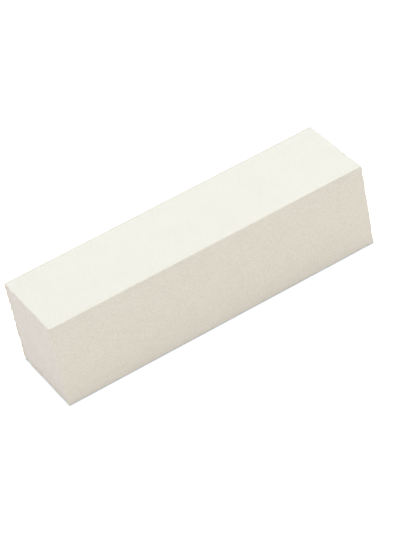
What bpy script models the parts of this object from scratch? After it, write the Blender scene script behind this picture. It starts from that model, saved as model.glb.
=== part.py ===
"""Nail buffer block: a bar of foam with a strip of coated abrasive bonded to each long face.

Metres. +X runs along the block and +Z is up. The origin is the middle of the underside.
Each strip has three layers, from the foam outwards: adhesive film, backing paper and abrasive coat.
The top and bottom strips go on first. The front and back strips lap over their long cut edges,
and the block is then cut to length, so that all the layers end flush at both ends.
"""

from math import radians

import bmesh
import bpy

# Driving dimensions of the finished block.
LENGTH = 0.095
WIDTH = 0.0245
HEIGHT = 0.026

# Layers of one strip, from the foam outwards: name, thickness and material.
LAYERS = (
    ("adhesive_film", 0.00010, "adhesive"),
    ("backing_paper", 0.00020, "paper"),
    ("abrasive_coat", 0.00015, "abrasive"),
)
BOND_GAP = 0.00002  # flat layers face each other across this, so that no two solids share a face
STRIP_THICKNESS = sum(thickness + BOND_GAP for _, thickness, _ in LAYERS)

CORE_WIDTH = WIDTH - 2 * STRIP_THICKNESS
CORE_HEIGHT = HEIGHT - 2 * STRIP_THICKNESS

# Rounding of the abrasive coat's outer rim, where use wears it first.
RIM_WEAR = 0.00006
RIM_SEGMENTS = 3

# One strip for each long face: name, turn about the block's length that takes +Z to the face's
# outward side, distance from the block's middle to the foam there, and the strip's width.
STRIPS = (
    ("top", 0, CORE_HEIGHT / 2, CORE_WIDTH),
    ("bottom", 180, CORE_HEIGHT / 2, CORE_WIDTH),
    ("front", 90, CORE_WIDTH / 2, HEIGHT),
    ("back", -90, CORE_WIDTH / 2, HEIGHT),
)

# Base colour (linear) and roughness.
MATERIALS = {
    "foam": ((0.78, 0.77, 0.74, 1.0), 0.90),
    "adhesive": ((0.74, 0.68, 0.50, 1.0), 0.45),
    "paper": ((0.78, 0.74, 0.62, 1.0), 0.85),
    "abrasive": ((0.82, 0.81, 0.77, 1.0), 0.80),
}


def clear_scene():
    for obj in list(bpy.data.objects):
        bpy.data.objects.remove(obj, do_unlink=True)


def make_material(name, colour, roughness):
    material = bpy.data.materials.new(name)
    material.use_nodes = True
    shader = material.node_tree.nodes["Principled BSDF"]
    shader.inputs["Base Color"].default_value = colour
    shader.inputs["Roughness"].default_value = roughness
    shader.inputs["Metallic"].default_value = 0.0
    return material


def make_empty(name, parent=None):
    empty = bpy.data.objects.new(name, None)
    bpy.context.scene.collection.objects.link(empty)
    empty.parent = parent
    return empty


def make_slab(name, size, material, parent, rim_wear=0.0):
    """A flat slab centred on its own origin, with its face at +Z softened round the rim by rim_wear."""
    mesh = bpy.data.meshes.new(name)
    slab = bmesh.new()
    bmesh.ops.create_cube(slab, size=1.0)
    bmesh.ops.scale(slab, vec=size, verts=slab.verts)
    if rim_wear:
        rim = [edge for edge in slab.edges if all(vert.co.z > 0 for vert in edge.verts)]
        bmesh.ops.bevel(
            slab,
            geom=rim,
            offset=rim_wear,
            offset_type="OFFSET",
            segments=RIM_SEGMENTS,
            profile=0.5,
            affect="EDGES",
            material=-1,
        )
    slab.to_mesh(mesh)
    slab.free()
    mesh.materials.append(material)
    obj = bpy.data.objects.new(name, mesh)
    bpy.context.scene.collection.objects.link(obj)
    obj.parent = parent
    return obj


def make_strip(side, turn, foam_distance, width, block, materials):
    """The three layers on one long face, each placed along the strip's own outward direction."""
    strip = make_empty("strip_" + side, block)
    strip.rotation_euler.x = radians(turn)
    inner_face = foam_distance
    for layer, thickness, material in LAYERS:
        inner_face += BOND_GAP
        rim_wear = RIM_WEAR if layer == "abrasive_coat" else 0.0
        slab = make_slab(
            f"{layer}_{side}", (LENGTH, width, thickness), materials[material], strip, rim_wear
        )
        slab.location.z = inner_face + thickness / 2
        inner_face += thickness


def main():
    clear_scene()
    materials = {name: make_material(name, *look) for name, look in MATERIALS.items()}
    block = make_empty("block_middle")
    block.location.z = HEIGHT / 2
    make_slab("foam_core", (LENGTH, CORE_WIDTH, CORE_HEIGHT), materials["foam"], block)
    for side, turn, foam_distance, width in STRIPS:
        make_strip(side, turn, foam_distance, width, block, materials)


main()
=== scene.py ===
"""Nail buffer block: the looks of a foam bar with a strip of coated abrasive on each long face.

Each strip is three sheets, from the foam outwards: glue film, backing paper and grit coat. The top
and bottom strips go on first, the front and back strips lap over their long edges, and the block is
then sawn to length, so that the foam and the cut edges of all the sheets show at both ends.
"""

from math import copysign, cos, exp, hypot, pi, radians, sin
from random import Random

import bmesh
import bpy
from mathutils import Matrix, Vector, noise


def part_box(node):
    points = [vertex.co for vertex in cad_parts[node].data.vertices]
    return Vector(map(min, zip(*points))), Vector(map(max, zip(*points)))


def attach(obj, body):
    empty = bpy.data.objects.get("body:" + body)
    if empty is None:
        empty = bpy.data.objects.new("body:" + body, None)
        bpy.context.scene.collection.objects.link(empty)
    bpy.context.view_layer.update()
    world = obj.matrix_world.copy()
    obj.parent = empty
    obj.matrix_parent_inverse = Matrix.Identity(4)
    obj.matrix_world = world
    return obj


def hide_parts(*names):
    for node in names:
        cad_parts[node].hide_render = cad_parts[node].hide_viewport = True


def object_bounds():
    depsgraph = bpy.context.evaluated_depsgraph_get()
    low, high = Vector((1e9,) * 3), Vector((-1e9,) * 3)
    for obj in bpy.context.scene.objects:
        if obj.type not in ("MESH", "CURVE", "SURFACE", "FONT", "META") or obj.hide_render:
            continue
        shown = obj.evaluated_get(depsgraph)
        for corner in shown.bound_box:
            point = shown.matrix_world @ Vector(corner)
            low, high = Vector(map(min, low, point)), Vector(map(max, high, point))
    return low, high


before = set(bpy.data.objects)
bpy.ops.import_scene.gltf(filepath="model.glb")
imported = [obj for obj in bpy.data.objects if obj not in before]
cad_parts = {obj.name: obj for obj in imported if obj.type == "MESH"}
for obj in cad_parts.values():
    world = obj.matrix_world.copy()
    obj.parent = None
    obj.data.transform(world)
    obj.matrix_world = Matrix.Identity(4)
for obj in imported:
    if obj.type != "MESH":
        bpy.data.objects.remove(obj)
cad_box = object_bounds()

MM = 0.001
LOW, HIGH = cad_box
BLOCK_SIZE = HIGH - LOW
BLOCK_MIDDLE = (HIGH + LOW) / 2

# Each strip's side, the turn about the block's length that takes +Z to its outward side, how far its
# long edges fall short of their line, and its grit. The front and back strips' edges show, the others
# are butted between them.
STRIPS = (
    ("top", 0, 0.02 * MM, "fine_grit"),
    ("bottom", 180, 0.02 * MM, "fine_grit"),
    # The front and back strips take the grit whose strong speckle is mostly painted shade of its relief.
    ("front", 90, 0.06 * MM, "coarse_grit_painted_shade"),
    ("back", -90, 0.06 * MM, "coarse_grit_painted_shade"),
)

# The sheets of a strip, from the outside in.
COAT_GRAIN = 0.17 * MM  # one grain of grit for each point of the coat's mesh
GRAIN_HEIGHT = 0.052 * MM  # the grains stand this far out of the resin
GRAIN_STRAY = 0.03 * MM  # they sit this far off an even spacing
CLUMP_SIZE = 0.50 * MM
CLUMP_HEIGHT = 0.056 * MM
SWELL_SIZE = 1.1 * MM
SWELL_HEIGHT = 0.020 * MM
COAT_RIM = 0.09 * MM  # the coat's outer rim is worn round to this radius
PAPER_CELL = 0.28 * MM  # the spacing of the mesh
PAPER_RIM = 0.02 * MM
GLUE_CELL = 0.50 * MM
GLUE_RIM = 0.03 * MM
SHEET_CLEARANCE = 0.03 * MM  # the sheets lie this far apart, to stay clear where they bend
RIM_STEPS = 3
WALL_STEPS = 2

# Near its rim, a sheet's mesh is fine enough to bend round the block's edges.
EDGE_STEP = 0.12 * MM
EDGE_RINGS = tuple(count * EDGE_STEP for count in (4, 3, 2, 1))
CROWD_REACH = 1.0 * MM  # inside the rings, the mesh widens to its own cell over about this far

# Handling has rounded the block's edges to these radii.
LONG_WEAR = 0.38 * MM
END_WEAR = 0.32 * MM

# The saw cut at the ends: slow waves and small chips that a strip's sheets share, and a little of
# each sheet's own.
END_WAVE = 1.4 * MM
END_WAVE_DEPTH = 0.38 * MM
END_WAVE_LIFT = 0.12  # raised by this, the waves take up a little over half of the cut
CHIP_SIZE = 0.45 * MM
CHIP_DEPTH = 0.22 * MM
CHIP_LIMIT = 0.28  # a chip is only where the noise is above this
SHEET_CUT_STEP = 0.02 * MM  # each sheet inwards may be cut this much shorter
CUT_REACH = 1.4 * MM  # the cut disturbs a sheet this far in from its edge

# Noise is read along lines this far apart, so that no two cuts are alike.
STRIP_SEED = 3.3
WAVE_LINE = 0.37
CHIP_LINE = 7.91
SIDE_LINE = 5.5

# The foam's sawn ends.
FOAM_CELL = 0.125 * MM
FOAM_RINGS = 4
FOAM_RECESS = 0.05 * MM
FOAM_CROWN = 0.10 * MM
PORE_SPACING = 0.42 * MM
PORE_WIDTH = 0.36  # as a share of the spacing
PORE_DEPTH = 0.12 * MM
CRUMB_SIZE = 0.29 * MM
SAW_MARK_WIDTH = 0.9 * MM
SAW_MARK_LENGTH = 9 * MM
SAW_ROUGHNESS = 0.02 * MM  # the depth of the crumbs, and of the saw marks

# The table round the block.
FLOOR_SIZE = 3.0
FLOOR_GAP = 0.01 * MM
PAINTED_SHADOW_REACH = (-0.1 * MM, 0.5 * MM)  # the painted contact shadow fades out between these, out from the block

# Camera: the lens and its place round the block, and where it aims from the block's middle.
AZIMUTH = radians(-23.94)
ELEVATION = radians(38.64)
ROLL = radians(-12.26)
DISTANCE = 0.6332
LENS = 163.78
SENSOR = 36
AIM_RIGHT = 1.834 * MM
AIM_UP = -1.021 * MM


def unevenness(place):
    """Smooth noise from 0 to 1, at a place counted in its blotches."""
    return 0.5 + 0.5 * noise.noise(Vector(place))


def cut_depth(along, seed):
    """How far a sawn edge falls short of its line at a place along it."""
    wave = max(0.0, noise.noise(Vector((along / END_WAVE, seed, WAVE_LINE))) + END_WAVE_LIFT)
    chip = max(0.0, noise.noise(Vector((along / CHIP_SIZE, seed, CHIP_LINE))) - CHIP_LIMIT)
    return END_WAVE_DEPTH * wave + CHIP_DEPTH * chip


def crowd_rim(sheet, size, cell):
    """Draws a grid's lines together towards its rim, from one cell apart to one edge step."""
    half = size / 2
    shift = CROWD_REACH * (1 - EDGE_STEP / cell)
    for vert in sheet.verts:
        for axis in (0, 1):
            inside = half[axis] - abs(vert.co[axis])
            moved = inside - shift * (1 - exp(-inside / CROWD_REACH))
            moved *= half[axis] / (half[axis] - shift)
            vert.co[axis] = copysign(half[axis] - moved, vert.co[axis])


def sheet_mesh(length, width, thickness, cell, rim):
    """A flat sheet with its bonded side at z = 0, gridded on its outer side and round at its rim."""
    sheet = bmesh.new()
    flat = Vector((length - 2 * EDGE_RINGS[0], width - 2 * EDGE_RINGS[0], 1.0))
    bmesh.ops.create_grid(
        sheet, x_segments=round(flat.x / cell), y_segments=round(flat.y / cell), size=0.5
    )
    bmesh.ops.scale(sheet, vec=flat, verts=sheet.verts)
    crowd_rim(sheet, flat, cell)
    bmesh.ops.translate(sheet, vec=(0, 0, thickness), verts=sheet.verts)
    profile = [(inset, thickness) for inset in EDGE_RINGS[1:]]
    for step in range(1, RIM_STEPS + 1):
        turn = step / RIM_STEPS * pi / 2
        profile.append((rim * (1 - sin(turn)), thickness - rim * (1 - cos(turn))))
    for step in range(1, WALL_STEPS + 1):
        profile.append((0.0, (thickness - rim) * (1 - step / WALL_STEPS)))
    profile += [(inset, 0.0) for inset in reversed(EDGE_RINGS)]
    inset_now = EDGE_RINGS[0]
    level_now = thickness
    ring = [edge for edge in sheet.edges if edge.is_boundary]
    for inset, level in profile:
        made = bmesh.ops.extrude_edge_only(sheet, edges=ring)["geom"]
        verts = [item for item in made if isinstance(item, bmesh.types.BMVert)]
        grow = (
            (length - 2 * inset) / (length - 2 * inset_now),
            (width - 2 * inset) / (width - 2 * inset_now),
            1.0,
        )
        bmesh.ops.scale(sheet, vec=grow, verts=verts)
        bmesh.ops.translate(sheet, vec=(0, 0, level - level_now), verts=verts)
        ring = [item for item in made if isinstance(item, bmesh.types.BMEdge) and item.is_boundary]
        inset_now, level_now = inset, level
    bmesh.ops.contextual_create(sheet, geom=ring)
    bmesh.ops.recalc_face_normals(sheet, faces=sheet.faces)
    return sheet


def cut_to_shape(sheet, length, width, seed, butt_depth, own_depth):
    """Moves a sheet's edges in to the sawn line at its ends, and in a little along its sides."""
    for vert in sheet.verts:
        x, y, _ = vert.co
        for end in (-1, 1):
            inside = length / 2 - end * x
            if inside < CUT_REACH:
                near = (1 - inside / CUT_REACH) ** 2
                depth = cut_depth(y, seed + end)
                depth += own_depth * unevenness((y / CHIP_SIZE, seed, end))
                vert.co.x -= end * near * depth
        for side in (-1, 1):
            inside = width / 2 - side * y
            if inside < CUT_REACH:
                near = (1 - inside / CUT_REACH) ** 2
                wave = unevenness((x / END_WAVE, seed + SIDE_LINE, side))
                vert.co.y -= side * near * butt_depth * wave


def raise_grain(sheet, thickness, seed):
    """Settles the outer side's points between the resin and the grain tips, each one a grain."""
    draw = Random(seed)
    for vert in sheet.verts:
        tip = draw.random() ** 3
        step_x = draw.uniform(-GRAIN_STRAY, GRAIN_STRAY)
        step_y = draw.uniform(-GRAIN_STRAY, GRAIN_STRAY)
        rise = 1 - (thickness - vert.co.z) / COAT_RIM
        if rise <= 0:
            continue
        spot = Vector((vert.co.x, vert.co.y, seed * MM))
        clump = unevenness(spot / CLUMP_SIZE)
        swell = unevenness(spot / SWELL_SIZE)
        fall = GRAIN_HEIGHT * (1 - tip) + CLUMP_HEIGHT * (1 - clump) + SWELL_HEIGHT * (1 - swell)
        vert.co.z -= fall * rise**2
        on_face = rise > 0.99
        if on_face:
            vert.co.x += step_x
            vert.co.y += step_y


def place_on(sheet, turn, foot):
    """Turns a flat sheet to face outwards and moves its bonded side's middle to foot."""
    bmesh.ops.rotate(
        sheet, cent=(0, 0, 0), matrix=Matrix.Rotation(radians(turn), 3, "X"), verts=sheet.verts
    )
    bmesh.ops.translate(sheet, vec=foot, verts=sheet.verts)


def wear_edges(shape):
    """Rounds over the block's twelve edges. Sheets that lie one inside another stay so."""
    for first, second, wear in ((1, 2, LONG_WEAR), (0, 2, END_WEAR), (0, 1, END_WEAR)):
        flat_first = BLOCK_SIZE[first] / 2 - wear
        flat_second = BLOCK_SIZE[second] / 2 - wear
        for vert in shape.verts:
            place = vert.co - BLOCK_MIDDLE
            out_first = abs(place[first]) - flat_first
            out_second = abs(place[second]) - flat_second
            if out_first > 0 and out_second > 0:
                keep = max(out_first, out_second) / hypot(out_first, out_second)
                place[first] = copysign(flat_first + keep * out_first, place[first])
                place[second] = copysign(flat_second + keep * out_second, place[second])
                vert.co = BLOCK_MIDDLE + place


def make_piece(name, shape, finish, slot, *nodes):
    """Makes an object of a finished shape. It rides on the block's body and stands for the nodes."""
    mesh = bpy.data.meshes.new(name)
    shape.to_mesh(mesh)
    shape.free()
    mesh.materials.append(finish.material)
    mesh.shade_smooth()
    piece = bpy.data.objects.new(name, mesh)
    bpy.context.scene.collection.objects.link(piece)
    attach(piece, "root")
    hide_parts(*nodes)
    return piece


def outward_span(node, outward):
    """How far from the block's middle a node's bonded and outer sides lie, along a direction."""
    return sorted((corner - BLOCK_MIDDLE).dot(outward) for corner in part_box(node))


def make_strip(number, side, turn, butt_depth, grit, finishes):
    """The grit coat, the paper and the glue film of one strip."""
    facing = Matrix.Rotation(radians(turn), 3, "X")
    across, outward = facing.col[1], facing.col[2]
    coat, paper, glue = f"abrasive_coat_{side}", f"backing_paper_{side}", f"adhesive_film_{side}"
    coat_outer = outward_span(coat, outward)[1]
    paper_inner, paper_outer = outward_span(paper, outward)
    foam_outer = outward_span("foam_core", outward)[1]
    low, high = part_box(coat)
    length = high.x - low.x
    width = abs((high - low).dot(across))
    coat_inner = paper_outer + SHEET_CLEARANCE
    glue_inner = foam_outer + SHEET_CLEARANCE
    glue_outer = paper_inner - SHEET_CLEARANCE
    sheets = (
        ("grit_coat", coat, coat_inner, coat_outer, COAT_GRAIN, COAT_RIM, "abrasive"),
        ("paper", paper, paper_inner, paper_outer, PAPER_CELL, PAPER_RIM, "paper"),
        ("glue_film", glue, glue_inner, glue_outer, GLUE_CELL, GLUE_RIM, "adhesive"),
    )
    seed = STRIP_SEED * (number + 1)
    for depth, (name, node, inner, outer, cell, rim, slot) in enumerate(sheets):
        thickness = outer - inner
        sheet = sheet_mesh(length, width, thickness, cell, rim)
        cut_to_shape(sheet, length, width, seed, butt_depth, depth * SHEET_CUT_STEP)
        if slot == "abrasive":
            raise_grain(sheet, thickness, number + 1)
        place_on(sheet, turn, BLOCK_MIDDLE + outward * inner)
        wear_edges(sheet)
        finish = finishes[grit if slot == "abrasive" else slot]
        make_piece(f"{name}_{side}", sheet, finish, slot, node)


def foam_bar(finish):
    """The foam bar, with the open cells and the slight crown of its sawn ends."""
    low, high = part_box("foam_core")
    size = high - low
    middle = (high + low) / 2
    bar = bmesh.new()
    for end in (-1, 1):
        made = bmesh.ops.create_grid(
            bar, x_segments=round(size.y / FOAM_CELL), y_segments=round(size.z / FOAM_CELL), size=0.5
        )["verts"]
        bmesh.ops.scale(bar, vec=(size.y, size.z, 1.0), verts=made)
        upright = Matrix(((0, 0, 1), (1, 0, 0), (0, 1, 0)))
        bmesh.ops.rotate(bar, cent=(0, 0, 0), matrix=upright, verts=made)
        bmesh.ops.translate(bar, vec=middle + Vector((end * size.x / 2, 0, 0)), verts=made)
    rims = [edge for edge in bar.edges if edge.is_boundary]
    sides = bmesh.ops.bridge_loops(bar, edges=rims)["edges"]
    bmesh.ops.subdivide_edges(bar, edges=sides, cuts=FOAM_RINGS, use_grid_fill=False)
    bmesh.ops.recalc_face_normals(bar, faces=bar.faces)
    for vert in bar.verts:
        end = 1 if vert.co.x > middle.x else -1
        on_end = size.x / 2 - end * (vert.co.x - middle.x) < FOAM_CELL
        if on_end:
            vert.co.x -= end * foam_fall(vert.co - middle, size, end)
    foam = make_piece("foam_bar", bar, finish, "foam", "foam_core")


def foam_fall(place, size, end):
    """How far the sawn foam falls short of the block's end at a place on it."""
    crown = max(abs(2 * place.y / size.y), abs(2 * place.z / size.z)) ** 4
    spot = Vector((place.y, place.z, end * MM))
    nearest = noise.voronoi(spot / PORE_SPACING)[0][0]
    pore = exp(-(nearest / PORE_WIDTH) ** 2)
    crumb = unevenness(spot / CRUMB_SIZE)
    saw_mark = unevenness((place.z / SAW_MARK_WIDTH, place.y / SAW_MARK_LENGTH, end))
    rough = SAW_ROUGHNESS * crumb + SAW_ROUGHNESS * saw_mark
    return FOAM_RECESS + FOAM_CROWN * crown + PORE_DEPTH * pore + rough


class Value:
    """A number or colour that changes over a surface. Sums on numbers add Math nodes to its tree."""

    def __init__(self, shading, socket):
        self.shading = shading
        self.socket = socket

    def maths(self, operation, first, second=0.0):
        return self.shading.node("Math", {"operation": operation}, {0: first, 1: second})

    def __add__(self, other):
        return self.maths("ADD", self, other)

    __radd__ = __add__

    def __sub__(self, other):
        return self.maths("SUBTRACT", self, other)

    def __rsub__(self, other):
        return self.maths("SUBTRACT", other, self)

    def __mul__(self, other):
        return self.maths("MULTIPLY", self, other)

    __rmul__ = __mul__

    def __abs__(self):
        return self.maths("ABSOLUTE", self)

    def least(self, other):
        return self.maths("MINIMUM", self, other)

    def most(self, other):
        return self.maths("MAXIMUM", self, other)


class Shading:
    """A tree of shader nodes."""

    def __init__(self, tree):
        self.tree = tree

    def node(self, kind, settings, sockets, output=0):
        """Adds a node, makes its settings, then fills its sockets, and returns one of its outputs."""
        node = self.tree.nodes.new("ShaderNode" + kind)
        for setting, value in settings.items():
            setattr(node, setting, value)
        self.fill(node, sockets)
        return Value(self, node.outputs[output])

    def fill(self, node, sockets):
        for name, value in sockets.items():
            if isinstance(value, Value):
                self.tree.links.new(value.socket, node.inputs[name])
            else:
                node.inputs[name].default_value = value


class Finish(Shading):
    """A material. Its patterns read the place on the object that is kept in self.place."""

    def __init__(self, name):
        self.material = bpy.data.materials.new(name)
        self.material.use_nodes = True
        super().__init__(self.material.node_tree)
        self.shader = self.tree.nodes["Principled BSDF"]
        self.place = self.node("TexCoord", {}, {}, "Object")

    def vector(self, operation, first, second, output=0):
        return self.node("VectorMath", {"operation": operation}, {0: first, 1: second}, output)

    def axes(self):
        return tuple(self.node("SeparateXYZ", {}, {0: self.place}, axis) for axis in "XYZ")

    def shake_place(self, size, reach):
        """Shakes the place that later patterns read, so that their grains come out ragged."""
        wander = self.node("TexNoise", {}, {"Vector": self.place, "Scale": 1 / size}, "Color")
        offset = self.vector("SUBTRACT", wander, (0.5, 0.5, 0.5))
        offset = self.vector("MULTIPLY", offset, (reach, reach, reach))
        self.place = self.vector("ADD", self.place, offset)

    def cloud(self, size, detail=2.0):
        """Soft noise from 0 to 1 with blotches of about a given size."""
        return self.node("TexNoise", {}, {"Vector": self.place, "Scale": 1 / size, "Detail": detail})

    def grains(self, size, output="Distance"):
        """Cells of a given size: how far it is to a cell's middle, its own colour, or its place."""
        return self.node("TexVoronoi", {}, {"Vector": self.place, "Scale": 1 / size}, output)

    def shades(self, size):
        """A number from 0 to 1 for each cell of a given size."""
        return self.node("SeparateColor", {}, {0: self.grains(size, "Color")}, 0)

    def borders(self, size):
        """0 on the lines between cells of a given size, growing into them."""
        settings = {"feature": "DISTANCE_TO_EDGE"}
        return self.node("TexVoronoi", settings, {"Vector": self.place, "Scale": 1 / size})

    def facets(self, size):
        """Height of a broken surface: each cell is a flat face with a tilt of its own."""
        from_middle = self.vector("SUBTRACT", self.place, self.grains(size, "Position"))
        tilt = self.vector("SUBTRACT", self.grains(size, "Color"), (0.5, 0.5, 0.5))
        return self.vector("DOT_PRODUCT", from_middle, tilt, "Value") * (1 / size)

    def fade(self, value, start, end):
        """0 where value is at start, 1 where it is at end, and smooth between them."""
        return self.node(
            "MapRange",
            {"interpolation_type": "SMOOTHSTEP"},
            {"Value": value, "From Min": start, "From Max": end, "To Min": 0.0, "To Max": 1.0},
        )

    def near_edges(self, reach):
        """1 on the block's twelve edges, where two of its sides meet, and 0 at reach from them."""
        x, y, z = self.axes()
        from_end = BLOCK_SIZE.x / 2 - abs(x - BLOCK_MIDDLE.x)
        from_side = BLOCK_SIZE.y / 2 - abs(y - BLOCK_MIDDLE.y)
        from_level = BLOCK_SIZE.z / 2 - abs(z - BLOCK_MIDDLE.z)
        least = from_end.least(from_side).least(from_level)
        most = from_end.most(from_side).most(from_level)
        from_edge = from_end + from_side + from_level - least - most
        return self.fade(from_edge, reach, 0.0)

    def mix(self, share, first, second):
        """A colour between two others."""
        return self.node("Mix", {"data_type": "RGBA"}, {0: share, 6: first, 7: second}, 2)

    def bump(self, height, distance, strength):
        return self.node("Bump", {}, {"Height": height, "Distance": distance, "Strength": strength})


def grit_finish(name, grain, contrast):
    """White mineral grit set in a warm white resin, rubbed through a little at the edges. Its colour runs
    between a lit and a shaded grit tone: partly the grains' own random tone, partly painted shade of the
    grit's relief and of the gaps between grains.
    """
    finish = Finish(name)
    worn = finish.near_edges(0.35 * MM) * finish.fade(finish.cloud(0.8 * MM), 0.35, 0.60)
    clump = finish.cloud(0.55 * MM)
    mottle = finish.cloud(1.3 * MM)
    blotch = finish.cloud(11 * MM)
    finish.shake_place(0.5 * grain, 0.8 * grain)
    tint = finish.shades(grain)
    resin = finish.fade(finish.borders(grain), 0.10, 0.0)
    # Painted shade: the mix from the lit to the shaded grit tone below is partly random grain tone and
    # partly painted shade of the grit's relief, with the gaps between grains darkened; a higher contrast
    # paints more of it.
    lit_grit_tone = (0.860, 0.860, 0.793, 1)
    shaded_grit_tone = (0.700, 0.692, 0.620, 1)
    bare_resin = (0.815, 0.780, 0.660, 1)
    speckle = 0.08 * tint + 0.12 * finish.fade(clump, 0.35, 0.65) + 0.03 * finish.fade(mottle, 0.35, 0.70)
    mean_speckle = 0.11
    tone_and_painted_shade = 0.20 + contrast * (speckle - mean_speckle)
    tone_and_painted_shade += 0.05 * resin + 0.06 * finish.fade(blotch, 0.3, 0.7)
    colour = finish.mix(tone_and_painted_shade, lit_grit_tone, shaded_grit_tone)
    colour = finish.mix(worn * 0.6, colour, bare_resin)
    facets = finish.facets(grain) + 0.6 * finish.facets(0.5 * grain)
    finish.fill(
        finish.shader,
        {
            "Base Color": colour,
            "Roughness": 0.92 - 0.35 * tint - 0.10 * worn,
            "Normal": finish.bump(facets - 0.06 * resin, 0.5 * grain, 0.8),
            "Specular IOR Level": 0.4,
        },
    )
    return finish


def paper_finish():
    """Cream kraft backing with fibres that run along the strip."""
    finish = Finish("cream_backing_paper")
    fibre_width = 0.06 * MM
    lengthen = (0.12, 1.0, 1.0)
    drawn_out = finish.node("Mapping", {}, {"Vector": finish.place, "Scale": lengthen})
    fibres = finish.node("TexNoise", {}, {"Vector": drawn_out, "Scale": 1 / fibre_width, "Detail": 3.0})
    pulp = finish.cloud(0.9 * MM)
    share = 0.6 * finish.fade(fibres, 0.35, 0.65) + 0.4 * pulp
    pale_pulp = (0.880, 0.865, 0.785, 1)
    cream_fibre = (0.810, 0.780, 0.680, 1)
    colour = finish.mix(share, pale_pulp, cream_fibre)
    finish.fill(
        finish.shader,
        {
            "Base Color": colour,
            "Roughness": 0.95 - 0.15 * fibres,
            "Normal": finish.bump(fibres, 0.012 * MM, 0.7),
            "Specular IOR Level": 0.25,
        },
    )
    return finish


def glue_finish():
    """A pale amber film with small bubbles and smears."""
    finish = Finish("amber_glue")
    smear = finish.cloud(1.6 * MM, detail=3.0)
    bubble = finish.fade(finish.grains(0.22 * MM), 0.30, 0.12)
    thin_glue = (0.860, 0.840, 0.750, 1)
    thick_glue = (0.780, 0.735, 0.610, 1)
    pale_bubble = (0.86, 0.83, 0.74, 1)
    colour = finish.mix(finish.fade(smear, 0.3, 0.7), thin_glue, thick_glue)
    colour = finish.mix(0.3 * bubble, colour, pale_bubble)
    finish.fill(
        finish.shader,
        {
            "Base Color": colour,
            "Roughness": 0.42 + 0.3 * smear,
            "Normal": finish.bump(smear - 0.5 * bubble, 0.02 * MM, 0.6),
        },
    )
    return finish


def foam_finish():
    """Fine white foam, a little cooler than the coat, its sawn cells open between thin walls, with
    painted shade in the open cells and pores.
    """
    finish = Finish("white_foam")
    bubble = 0.26 * MM
    small_cell = finish.fade(finish.borders(bubble), 0.03, 0.22)
    burst = finish.fade(finish.grains(PORE_SPACING), 0.34, 0.08)
    mottle = finish.cloud(1.2 * MM)
    haze = finish.cloud(6 * MM)
    # Painted shade: the open cells and pores are darkened towards the hollow tone, with random mottling
    # and haze of the foam's own tone mixed in.
    shadow = 0.30 * small_cell * finish.shades(bubble) + 0.22 * burst
    shadow += 0.26 * finish.fade(mottle, 0.3, 0.7) + 0.22 * haze
    cell_wall = (0.782, 0.782, 0.762, 1)
    shaded_cell_hollow = (0.600, 0.592, 0.560, 1)
    colour = finish.mix(0.75 * shadow, cell_wall, shaded_cell_hollow)
    finish.fill(
        finish.shader,
        {
            "Base Color": colour,
            "Roughness": 0.96 - 0.14 * small_cell,
            "Normal": finish.bump(0.4 * mottle - 0.5 * small_cell - 0.6 * burst, 0.03 * MM, 0.7),
            "Specular IOR Level": 0.3,
        },
    )
    return finish


def make_floor():
    """A plain pale table with a glow for the camera, and a painted contact shadow in a narrow line round
    the block.
    """
    plane = bmesh.new()
    bmesh.ops.create_grid(plane, x_segments=1, y_segments=1, size=FLOOR_SIZE)
    bmesh.ops.translate(plane, vec=(0, 0, LOW.z - FLOOR_GAP), verts=plane.verts)
    mesh = bpy.data.meshes.new("floor")
    plane.to_mesh(mesh)
    plane.free()
    finish = Finish("pale_floor")
    seen = finish.node("LightPath", {}, {}, "Is Camera Ray")
    x, y, _ = finish.axes()
    past_end = abs(x - BLOCK_MIDDLE.x) - BLOCK_SIZE.x / 2
    past_side = abs(y - BLOCK_MIDDLE.y) - BLOCK_SIZE.y / 2
    # Painted contact shadow: the table's colour turns dark in a narrow line round the block's footprint.
    clear = finish.fade(past_end.most(past_side), *PAINTED_SHADOW_REACH)
    painted_contact_shadow = (0.41, 0.41, 0.44, 1)
    pale_table = (0.98, 0.895, 0.833, 1)
    no_glow = (0, 0, 0, 1)
    glow = (0.50, 0.55, 0.60, 1)
    finish.fill(
        finish.shader,
        {
            "Base Color": finish.mix(clear, painted_contact_shadow, pale_table),
            "Roughness": 1.0,
            "Specular IOR Level": 0.0,
            "Emission Color": finish.mix(seen, no_glow, glow),
            "Emission Strength": 1.0,
        },
    )
    mesh.materials.append(finish.material)
    floor = bpy.data.objects.new("floor", mesh)
    bpy.context.scene.collection.objects.link(floor)


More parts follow.
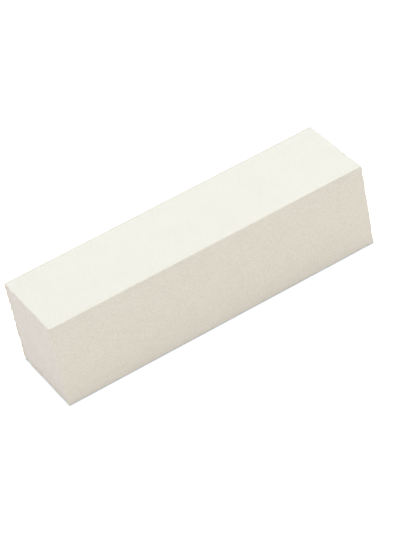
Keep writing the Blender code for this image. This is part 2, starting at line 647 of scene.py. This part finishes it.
def make_light(name, place, size, power, colour):
    """A square soft light that faces the block."""
    lamp = bpy.data.lights.new(name, "AREA")
    lamp.shape = "SQUARE"
    lamp.size = size
    lamp.energy = power
    lamp.color = colour
    light = bpy.data.objects.new(name, lamp)
    bpy.context.scene.collection.objects.link(light)
    light.location = place
    light.rotation_euler = (Vector(place) - BLOCK_MIDDLE).to_track_quat("Z", "Y").to_euler()


def make_studio():
    """A white room that glows from all round, with a backdrop for the camera and a soft light above."""
    world = bpy.data.worlds.new("studio")
    bpy.context.scene.world = world
    world.use_nodes = True
    room = Shading(world.node_tree)
    glow = room.node("Background", {}, {"Color": (1.0, 0.985, 0.965, 1), "Strength": 0.82})
    backdrop = room.node("Background", {}, {"Color": (1, 1, 1, 1), "Strength": 1.2})
    seen = room.node("LightPath", {}, {}, "Is Camera Ray")
    surface = room.node("MixShader", {}, {0: seen, 1: glow, 2: backdrop})
    room.fill(world.node_tree.nodes["World Output"], {"Surface": surface})
    make_light(
        "overhead_light", place=(0.15, 0.16, 0.93), size=1.0, power=5.2, colour=(0.93, 0.955, 0.99)
    )


def make_camera():
    """Looks down on the block from its front left, with colours shown as they are lit."""
    back = Vector((sin(AZIMUTH) * cos(ELEVATION), -cos(AZIMUTH) * cos(ELEVATION), sin(ELEVATION)))
    level = Vector((0, 0, 1)).cross(back).normalized()
    upright = back.cross(level)
    right = level * cos(ROLL) + upright * sin(ROLL)
    up = upright * cos(ROLL) - level * sin(ROLL)
    aim = BLOCK_MIDDLE + right * AIM_RIGHT + up * AIM_UP
    lens = bpy.data.cameras.new("camera")
    lens.lens = LENS
    lens.sensor_width = SENSOR
    lens.clip_start = 0.01
    camera = bpy.data.objects.new("camera", lens)
    bpy.context.scene.collection.objects.link(camera)
    turn = Matrix((right, up, back)).transposed().to_4x4()
    camera.matrix_world = Matrix.Translation(aim + back * DISTANCE) @ turn
    bpy.context.scene.camera = camera
    bpy.context.scene.view_settings.view_transform = "Standard"


make_camera()
make_studio()
make_floor()
finishes = {
    "fine_grit": grit_finish("fine_white_grit", grain=0.15 * MM, contrast=0.6),
    # The coarse grit's high contrast is mostly painted shade of the grit's relief.
    "coarse_grit_painted_shade": grit_finish("coarse_white_grit_painted_shade", grain=0.21 * MM, contrast=2.6),
    "paper": paper_finish(),
    "adhesive": glue_finish(),
}
foam_bar(foam_finish())
for number, strip in enumerate(STRIPS):
    make_strip(number, *strip, finishes)
